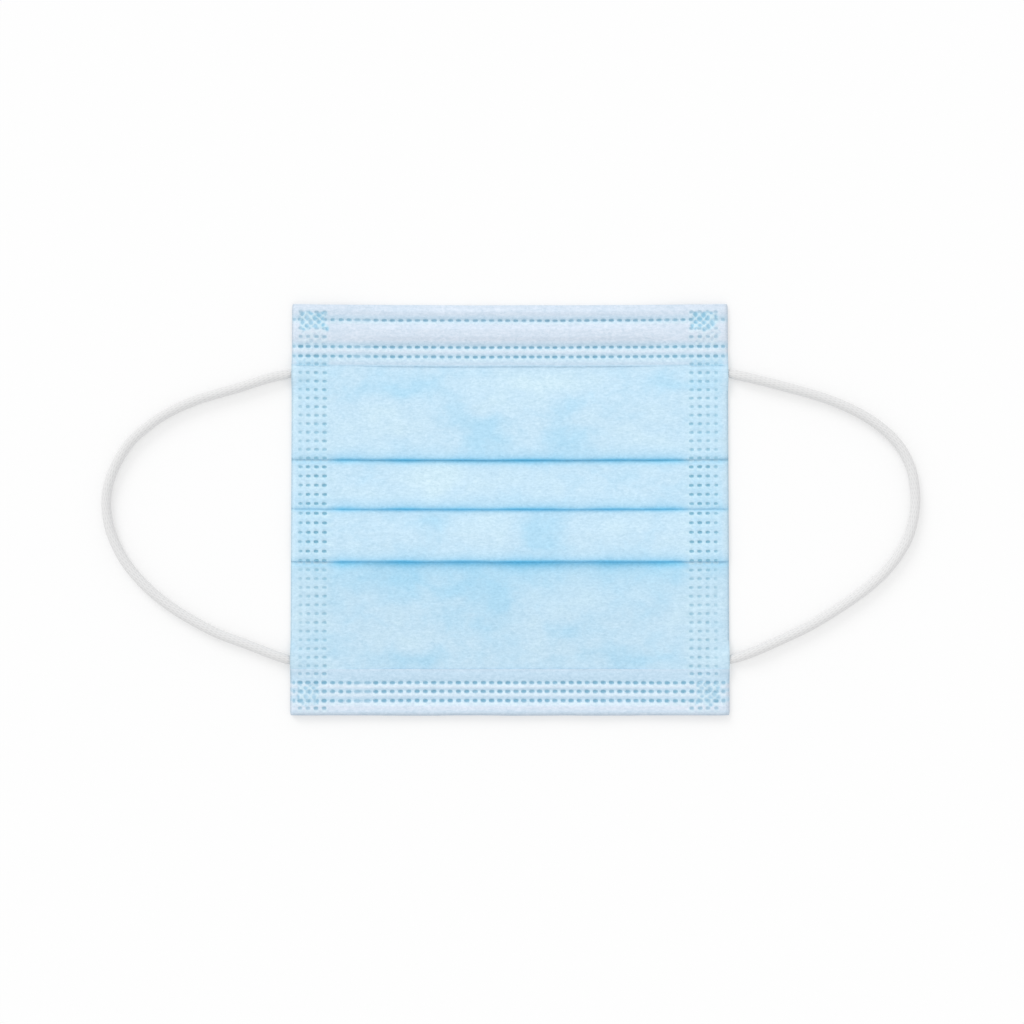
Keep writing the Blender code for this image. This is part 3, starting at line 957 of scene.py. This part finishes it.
def make_band(name, sign, depth, back_depth, reach, rows, leaf, tint, light, hem, corner_tint):
    """A band folded over a long edge, with its dashes and knurled corners. Sign 1 is nose, -1 is chin."""
    across = column_lines(range(FIRST_MARK, LAST_MARK + 1), (PATCH_ZONE,), BAND_COLUMN_STEP)
    keep = squeeze(across)
    centres = [sign * y * MM for y in list(rows) + GRID_CENTRES]
    arc_y = HALF_HEIGHT - reach - BAND_CLOTH / 2
    y_rows, z_rows = [], []
    for y in merged_lines(HALF_HEIGHT - depth, arc_y, row_lines(centres), (PATCH_LINES,), BAND_LINE_STEP):
        rise = read_table(leaf, (HALF_HEIGHT - y) / MM) * MM
        rise = rise * mix(1.0, LEAF_SIDE_RISE, side_weight(across))
        near_end = smooth(1 - (depth - HALF_HEIGHT + y) / FUSE_RUN)
        fused = (BAND_CLOTH + LAYER_GAP) * FUSE_SHARE * side_weight(across) * near_end
        y_rows.append(np.full_like(across, y))
        z_rows.append((PANEL_RISE + CLOTH + LAYER_GAP + BAND_CLOTH / 2 + rise - fused) * keep)
    shown = [True] * (len(y_rows) + ARC_FACETS // 2)
    top = z_rows[-1]
    bottom = BAND_CLOTH / 2 * keep
    for i in range(1, ARC_FACETS + 1):
        angle = math.pi * i / ARC_FACETS
        y_rows.append(np.full_like(across, arc_y + reach * math.sin(angle)))
        z_rows.append((top + bottom) / 2 + (top - bottom) / 2 * math.cos(angle))
    for share in (0.2, 0.4, 0.6, 0.8, 1.0):
        y_rows.append(np.full_like(across, mix(arc_y, HALF_HEIGHT - back_depth, share)))
        z_rows.append(bottom)
    shown = np.array(shown + [False] * (len(y_rows) - len(shown)))[:, None]
    y, z = np.array(y_rows), np.array(z_rows)
    if sign > 0:
        y, z, shown = y[::-1], z[::-1], shown[::-1]
    else:
        y = -y
    front, back = two_sides(y, z, np.broadcast_to(BAND_CLOTH / 2 * keep, y.shape))
    front = place(across[None, :], *front)
    back = place(across[None, :], *back)
    x = across[None, :] * HALF_WIDTH
    knurl, stain, hollow_shade, lines = patch_field(x, y)
    weld, highlight_and_lines = mark_field(x, y, ROW_MARKS)
    grid_weld, grid_highlight = mark_field(x, y, GRID_MARKS)
    weld = np.clip(np.maximum(weld, grid_weld) * (1 - 0.55 * stain - 0.25 * lines), 0, 1) * shown
    # Painted highlight on the marks' rims, joined by the knurls' pale lines
    highlight_and_lines = np.maximum(np.maximum(highlight_and_lines, grid_highlight) * (1 - stain), 1.2 * lines) * (1 - weld) * shown
    press = np.maximum(weld, knurl * shown)
    grid = grid_share(x)
    inward = (HALF_HEIGHT - np.abs(y)) / MM
    front[..., 2] += PUFF * grid * (1 - press) * shown * smooth((inward - 0.8) / 1.2)
    front[..., 2] -= np.minimum(PRESS_DEPTH, PRESS_LIMIT * BAND_CLOTH * keep) * press
    corner = grid * smooth((inward - depth / MM + 3.0) / 2.0) * corner_tint
    # Painted shade along the hem and the side edges
    hem_width, hem_shade = hem
    shade = np.maximum(outline_shade(x), smooth(1 - inward / hem_width) * hem_shade)
    return closed_sheet(name, front, back, {
        # The painted shade in the knurls' hollows takes the weld colour
        "weld": np.maximum(weld, HOLLOW_SHADE_STRENGTH * hollow_shade * shown),
        "highlight_and_lines": highlight_and_lines,
        "crease": np.zeros_like(weld),
        "glow": np.zeros_like(weld),
        "cloud": wave_sum(CLOUD_WAVES, x * 1.2, y * 1.8) * 0.22 * shown,
        "stain": np.maximum(stain, read_table(tint, inward) + corner) * shown,
        "shade": np.maximum((1 - read_table(light, inward)) * shown, shade),
    })


# Ear loops


def make_loop(name, route):
    """A round knitted cord lying on the surface, pressed thinner where it is welded behind a corner."""
    line = even_steps(curve_through(route), CORD_RING_STEP)
    share = mix(1.0, CORD_PRESSED, line[:, 2])
    centre = np.stack([line[:, 0], line[:, 1], share * CORD_DIAMETER / 2], axis=1)
    along = np.gradient(centre, axis=0)
    along /= np.linalg.norm(along, axis=1)[:, None]
    side = np.cross(along, (0.0, 0.0, 1.0))
    side /= np.linalg.norm(side, axis=1)[:, None]
    up = np.cross(side, along)
    turn = np.linspace(0, 2 * math.pi, CORD_SIDES, endpoint=False)[None, :]
    length = (np.arange(len(centre)) * CORD_RING_STEP)[:, None]
    braid = 2 * math.pi * length / CORD_LEAD
    ribs = np.maximum(np.cos(CORD_RIBS * turn + braid), np.cos(CORD_RIBS * turn - braid))
    radius = CORD_DIAMETER / 2 * share[:, None] * (1 - CORD_RELIEF * (1 - ribs) / 2)
    wide = radius / np.maximum(share[:, None], CORD_SPREAD)
    points = (
        centre[:, None, :]
        + side[:, None, :] * (wide * np.cos(turn))[..., None]
        + up[:, None, :] * (radius * np.sin(turn))[..., None]
    )
    count = len(centre)
    index = np.arange(count * CORD_SIDES).reshape(count, CORD_SIDES)
    after = np.roll(index, -1, axis=1)
    faces = np.stack([index[:-1], index[1:], after[1:], after[:-1]], -1).reshape(-1, 4).tolist()
    faces.append(index[0].tolist())
    faces.append(index[-1][::-1].tolist())
    mesh = bpy.data.meshes.new(name)
    mesh.from_pydata(points.reshape(-1, 3).tolist(), [], faces)
    mesh.shade_smooth()
    mesh.set_sharp_from_angle(angle=CORD_SHARP_ANGLE)
    rib_layer = mesh.attributes.new("rib", "FLOAT", "POINT")
    rib_layer.data.foreach_set("value", ((ribs + 1) / 2).astype(np.float32).ravel())
    obj = bpy.data.objects.new(name, mesh)
    bpy.context.scene.collection.objects.link(obj)
    real_length = float(np.linalg.norm(np.diff(centre, axis=0), axis=1).sum())
    return obj, centre, real_length


# Materials


def add_node(tree, kind, settings=None, **inputs):
    node = tree.nodes.new(kind)
    for key, value in (settings or {}).items():
        setattr(node, key, value)
    for key, value in inputs.items():
        socket = node.inputs[int(key[1:])] if key[0] == "i" and key[1:].isdigit() else node.inputs[key]
        if isinstance(value, bpy.types.NodeSocket):
            tree.links.new(value, socket)
        else:
            socket.default_value = value
    return node


def colour_mix(tree, share, low, high):
    """A blend of two colours, by a number or by another node's output."""
    node = add_node(tree, "ShaderNodeMix", {"data_type": "RGBA"})
    for socket, value in ((node.inputs[0], share), (node.inputs[6], low), (node.inputs[7], high)):
        if isinstance(value, bpy.types.NodeSocket):
            tree.links.new(value, socket)
        else:
            socket.default_value = value if isinstance(value, float) else (*value, 1)
    return node.outputs[2]


def arithmetic(tree, operation, first, second):
    return add_node(tree, "ShaderNodeMath", {"operation": operation}, i0=first, i1=second).outputs[0]


def noise_at(tree, coordinates, stretch, scale, detail, rough, distort):
    scaled = add_node(tree, "ShaderNodeMapping", i0=coordinates, Scale=stretch).outputs[0]
    settings = {"Scale": scale, "Detail": detail, "Roughness": rough, "Distortion": distort}
    return add_node(tree, "ShaderNodeTexNoise", Vector=scaled, **settings).outputs[0]


def ramp(tree, value, low, high, out_low=0.0, out_high=1.0):
    node = add_node(tree, "ShaderNodeMapRange", i0=value, i1=low, i2=high, i3=out_low, i4=out_high)
    return node.outputs[0]


def attribute(tree, name):
    return add_node(tree, "ShaderNodeAttribute", {"attribute_name": name}).outputs["Fac"]


def nonwoven(name, face, pale, deep, weld_colour, highlight_colour, stain_colour, crease_colour, shadow_glow_colour):
    """Matt spunbond cloth: fine fibres, soft clouds, darker welds, painted shade and glow at the folds,
    and painted highlights by the marks.
    """
    material = bpy.data.materials.new(name)
    material.use_nodes = True
    tree = material.node_tree
    shader = tree.nodes["Principled BSDF"]
    at = add_node(tree, "ShaderNodeTexCoord").outputs["Object"]
    layers = [arithmetic(tree, "MULTIPLY", noise_at(tree, at, *noise), share) for *noise, share in FIBRES]
    fibres = arithmetic(tree, "ADD", arithmetic(tree, "ADD", layers[0], layers[1]), layers[2])
    blotch = noise_at(tree, at, (0.8, 1.0, 1.0), 230.0, 3.0, 0.55, 0.3)
    blotch = ramp(tree, blotch, 0.3, 0.7, -BLOTCH, BLOTCH)
    cloud = arithmetic(tree, "ADD", attribute(tree, "cloud"), blotch)
    base = colour_mix(tree, ramp(tree, cloud, 0.0, CLOUD_RANGE), face, deep)
    base = colour_mix(tree, ramp(tree, cloud, 0.0, -CLOUD_RANGE), base, pale)
    base = colour_mix(tree, attribute(tree, "stain"), base, stain_colour)
    # Painted crease shade: deep blue in and above the folds
    base = colour_mix(tree, attribute(tree, "crease"), base, crease_colour)
    # Painted shadow and glow below the folds
    base = colour_mix(tree, attribute(tree, "glow"), base, shadow_glow_colour)
    # Painted highlight on the marks' rims, and in the bands the knurls' pale lines
    highlight_and_lines = arithmetic(tree, "MULTIPLY", attribute(tree, "highlight_and_lines"), HIGHLIGHT_TINT)
    base = colour_mix(tree, highlight_and_lines, base, highlight_colour)
    weld = attribute(tree, "weld")
    base = colour_mix(tree, arithmetic(tree, "MULTIPLY", weld, WELD_TINT), base, weld_colour)
    grain = [ramp(tree, fibres, *FIBRE_RANGE, 1 - part, 1 + part) for part in GRAIN]
    grain = add_node(tree, "ShaderNodeCombineXYZ", i0=grain[0], i1=grain[1], i2=grain[2]).outputs[0]
    base = add_node(tree, "ShaderNodeVectorMath", {"operation": "MULTIPLY"}, i0=base, i1=grain).outputs[0]
    lit = arithmetic(tree, "SUBTRACT", 1.0, attribute(tree, "shade"))
    base = add_node(tree, "ShaderNodeVectorMath", {"operation": "SCALE"}, i0=base, Scale=lit).outputs[0]
    tree.links.new(base, shader.inputs["Base Color"])
    tree.links.new(ramp(tree, weld, 0.0, 1.0, 0.88, 0.50), shader.inputs["Roughness"])
    shader.inputs["Specular IOR Level"].default_value = 0.3
    shader.inputs["Sheen Weight"].default_value = 0.05
    shader.inputs["Sheen Roughness"].default_value = 0.6
    soft = arithmetic(tree, "MULTIPLY", fibres, ramp(tree, weld, 0.0, 1.0, 1.0, 0.25))
    bump = add_node(tree, "ShaderNodeBump", Strength=0.6, Distance=0.00012, Height=soft)
    tree.links.new(bump.outputs[0], shader.inputs["Normal"])
    return material


def elastic(name):
    """White knitted elastic: fine yarn between slightly greyer gaps."""
    material = bpy.data.materials.new(name)
    material.use_nodes = True
    tree = material.node_tree
    shader = tree.nodes["Principled BSDF"]
    at = add_node(tree, "ShaderNodeTexCoord").outputs["Object"]
    yarn = noise_at(tree, at, (1.0, 1.0, 1.0), 2400.0, 3.0, 0.6, 0.8)
    soil = noise_at(tree, at, (1.0, 1.0, 1.0), 220.0, 2.0, 0.5, 0.0)
    rib_part = arithmetic(tree, "MULTIPLY", attribute(tree, "rib"), 0.70)
    shade = arithmetic(tree, "ADD", rib_part, arithmetic(tree, "MULTIPLY", yarn, 0.30))
    base = colour_mix(tree, ramp(tree, shade, 0.2, 0.8), (0.625, 0.625, 0.628), (0.750, 0.750, 0.750))
    base = colour_mix(tree, ramp(tree, soil, 0.35, 0.75, 0.0, 0.25), base, (0.685, 0.685, 0.688))
    tree.links.new(base, shader.inputs["Base Color"])
    shader.inputs["Roughness"].default_value = 0.82
    shader.inputs["Specular IOR Level"].default_value = 0.3
    shader.inputs["Sheen Weight"].default_value = 0.12
    bump = add_node(tree, "ShaderNodeBump", Strength=0.5, Distance=0.00012, Height=yarn)
    tree.links.new(bump.outputs[0], shader.inputs["Normal"])
    return material


def light_table(name, albedo, glow):
    """Matt white sheet that is also lit from below, so that shadows on it stay faint."""
    material = bpy.data.materials.new(name)
    material.use_nodes = True
    shader = material.node_tree.nodes["Principled BSDF"]
    shader.inputs["Base Color"].default_value = (albedo, albedo, albedo, 1)
    shader.inputs["Roughness"].default_value = 1.0
    shader.inputs["Specular IOR Level"].default_value = 0.0
    shader.inputs["Emission Color"].default_value = (1, 1, 1, 1)
    shader.inputs["Emission Strength"].default_value = glow
    return material


# Floor and light


def make_floor(half):
    mesh = bpy.data.meshes.new("floor")
    corners = [(-half, -half, 0), (half, -half, 0), (half, half, 0), (-half, half, 0)]
    mesh.from_pydata(corners, [], [(0, 1, 2, 3)])
    floor = bpy.data.objects.new("floor", mesh)
    bpy.context.scene.collection.objects.link(floor)
    floor.data.materials.append(light_table("floor_paper", albedo=0.62, glow=0.309))


def sun(name, height, turn, softness, strength):
    """Even light from far away. Its height above the floor and its turn from +Y to -X are in degrees."""
    data = bpy.data.lights.new(name, "SUN")
    data.angle = math.radians(softness)
    data.energy = strength
    light = bpy.data.objects.new(name, data)
    bpy.context.scene.collection.objects.link(light)
    height, turn = math.radians(height), math.radians(turn)
    level = math.cos(height)
    direction = Vector((-level * math.sin(turn), level * math.cos(turn), math.sin(height)))
    light.rotation_euler = direction.to_track_quat("Z", "Y").to_euler()


def make_world(strength):
    world = bpy.data.worlds.new("studio")
    world.use_nodes = True
    background = world.node_tree.nodes["Background"]
    background.inputs["Color"].default_value = (1, 1, 1, 1)
    background.inputs["Strength"].default_value = strength
    bpy.context.scene.world = world


# The mask

cord_look = elastic("knitted_elastic")
for cord_name, route, node_name in (
    ("ear_cord_left", LEFT_LOOP, "ear_loop_left"),
    ("ear_cord_right", RIGHT_LOOP, "ear_loop_right"),
):
    loop, centre_line, loop_length = make_loop(cord_name, route)
    loop.data.materials.append(cord_look)
    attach(loop, "root")
    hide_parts(node_name)

face = make_panel()
face_look = nonwoven(
    "face_nonwoven",
    face=(0.532, 0.724, 0.858),
    pale=(0.585, 0.765, 0.865),
    deep=(0.425, 0.675, 0.845),
    weld_colour=(0.16, 0.40, 0.54),
    highlight_colour=(0.60, 0.80, 0.89),
    stain_colour=(0.32, 0.62, 0.80),
    crease_colour=(0.12, 0.50, 0.78),
    shadow_glow_colour=(0.14, 0.62, 0.92),
)
band_look = nonwoven(
    "band_nonwoven",
    face=(0.635, 0.722, 0.825),
    pale=(0.670, 0.750, 0.845),
    deep=(0.590, 0.700, 0.815),
    weld_colour=(0.155, 0.38, 0.525),
    highlight_colour=(0.66, 0.82, 0.89),
    stain_colour=(0.31, 0.62, 0.81),
    crease_colour=(0.12, 0.50, 0.78),
    shadow_glow_colour=(0.14, 0.62, 0.92),
)
nose = make_band(
    "nose_strip", 1, NOSE_BAND_DEPTH, NOSE_BACK_DEPTH, reach=0.7 * MM, rows=NOSE_ROWS,
    leaf=NOSE_LEAF, tint=NOSE_TINT, light=NOSE_LIGHT, hem=(0.6, 0.10), corner_tint=0.30,
)
chin = make_band(
    "chin_strip", -1, CHIN_BAND_DEPTH, CHIN_BACK_DEPTH, reach=1.5 * MM, rows=CHIN_ROWS,
    leaf=CHIN_LEAF, tint=CHIN_TINT, light=CHIN_LIGHT, hem=(1.5, 0.24), corner_tint=0.0,
)
for piece, look, node_name, slot_name in (
    (face, face_look, "pleated_panel", "panel_cloth"),
    (nose, band_look, "nose_band", "band_cloth"),
    (chin, band_look, "chin_band", "band_cloth"),
):
    piece.data.materials.append(look)
    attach(piece, "root")
    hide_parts(node_name)

make_floor(half=3.0)

sun("key", height=30, turn=31, softness=26, strength=0.80)
make_world(0.974)
bpy.context.scene.view_settings.view_transform = "Standard"
bpy.context.scene.view_settings.look = "None"
